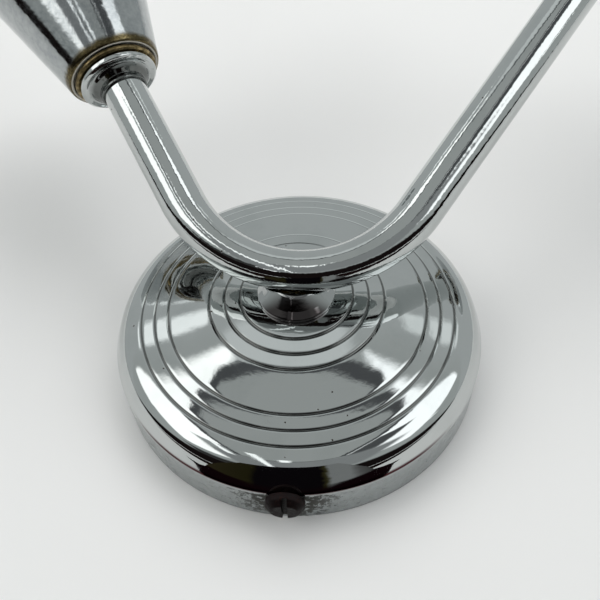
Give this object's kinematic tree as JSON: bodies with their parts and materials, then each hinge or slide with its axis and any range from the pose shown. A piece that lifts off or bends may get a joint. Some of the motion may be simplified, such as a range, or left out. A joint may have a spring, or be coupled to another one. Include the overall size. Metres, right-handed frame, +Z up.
{
  "type": "two-arm wall light",
  "caption": "Chromed two-arm wall light with a stepped round backplate, an open V of bent tube with unequal arms, and a metal cone with a bayonet lampholder on each arm.",
  "frame": {"origin": "middle of the strap bracket's back, in the plane of the wall and of the canopy's rim", "axes": "+Y into the wall, -Y out into the room, +Z up the wall, +X to the right seen from the room"},
  "size_m": [0.2964, 0.1559, 0.228],
  "materials": {
    "plate_chrome": "mirror plated, spun",
    "tube_chrome": "mirror plated, drawn tube",
    "cone_chrome": "mirror plated, spun, rubbed to brass at the foot",
    "oxidised_steel": "oxidised dark brown",
    "zinc_steel": "dull zinc plate",
    "brass": "turned brass, tarnished",
    "bakelite": "dark brown moulding",
    "porcelain": "glazed off-white",
    "flex_sheath": "smooth cream sheath",
    "spring_steel": "bright spring wire"
  },
  "bodies": {
    "fixture": {"backplate": "plate_chrome", "stiffener_disc": "zinc_steel", "nipple_washer": "zinc_steel", "wall_strap": "zinc_steel", "side_fixing_screw": "oxidised_steel", "locating_peg": "brass", "terminal_block": "porcelain", "terminal_tubes": "brass", "terminal_screws": "brass", "block_screw": "zinc_steel", "earth_screw": "brass", "earth_cup_washer": "brass"},
    "arm": {"centre_nipple": "brass", "nipple_nut": "brass", "centre_boss": "plate_chrome", "arm_tube": "tube_chrome", "left_ferrule": "plate_chrome", "left_seat_washer": "brass", "left_cone": "cone_chrome", "left_end_bush": "brass", "left_cone_nut": "brass", "left_holder_cap": "brass", "left_holder_insulator": "bakelite", "left_holder_barrel": "brass", "left_shade_ring": "bakelite", "left_plunger_spring_a": "spring_steel", "left_plunger_spring_b": "spring_steel", "left_flex": "flex_sheath", "right_ferrule": "plate_chrome", "right_seat_washer": "brass", "right_cone": "cone_chrome", "right_end_bush": "brass", "right_cone_nut": "brass", "right_holder_cap": "brass", "right_holder_insulator": "bakelite", "right_holder_barrel": "brass", "right_shade_ring": "bakelite", "right_plunger_spring_a": "spring_steel", "right_plunger_spring_b": "spring_steel", "right_flex": "flex_sheath"},
    "left_plunger_a": {"left_plunger_a": "brass"},
    "left_plunger_b": {"left_plunger_b": "brass"},
    "right_plunger_a": {"right_plunger_a": "brass"},
    "right_plunger_b": {"right_plunger_b": "brass"}
  },
  "joints": [
    {"name": "arm_swivel", "type": "hinge", "parent": "fixture", "child": "arm", "pos_m": [0, -0.027, 0], "axis": [0, -1, 0], "range_deg": [-10, 10], "deforming": ["left_flex", "right_flex"]},
    {"name": "left_plunger_a_press", "type": "slide", "parent": "arm", "child": "left_plunger_a", "axis": [0.504, 0.424, -0.7525], "range_m": [0, 0.0035], "stiffness_N_per_m": 700, "springref_m": -0.003, "deforming": ["left_plunger_spring_a"]},
    {"name": "left_plunger_b_press", "type": "slide", "parent": "arm", "child": "left_plunger_b", "axis": [0.504, 0.424, -0.7525], "range_m": [0, 0.0035], "stiffness_N_per_m": 700, "springref_m": -0.003, "deforming": ["left_plunger_spring_b"]},
    {"name": "right_plunger_a_press", "type": "slide", "parent": "arm", "child": "right_plunger_a", "axis": [-0.5552, 0.424, -0.7155], "range_m": [0, 0.0035], "stiffness_N_per_m": 700, "springref_m": -0.003, "deforming": ["right_plunger_spring_a"]},
    {"name": "right_plunger_b_press", "type": "slide", "parent": "arm", "child": "right_plunger_b", "axis": [-0.5552, 0.424, -0.7155], "range_m": [0, 0.0035], "stiffness_N_per_m": 700, "springref_m": -0.003, "deforming": ["right_plunger_spring_b"]}
  ]
}
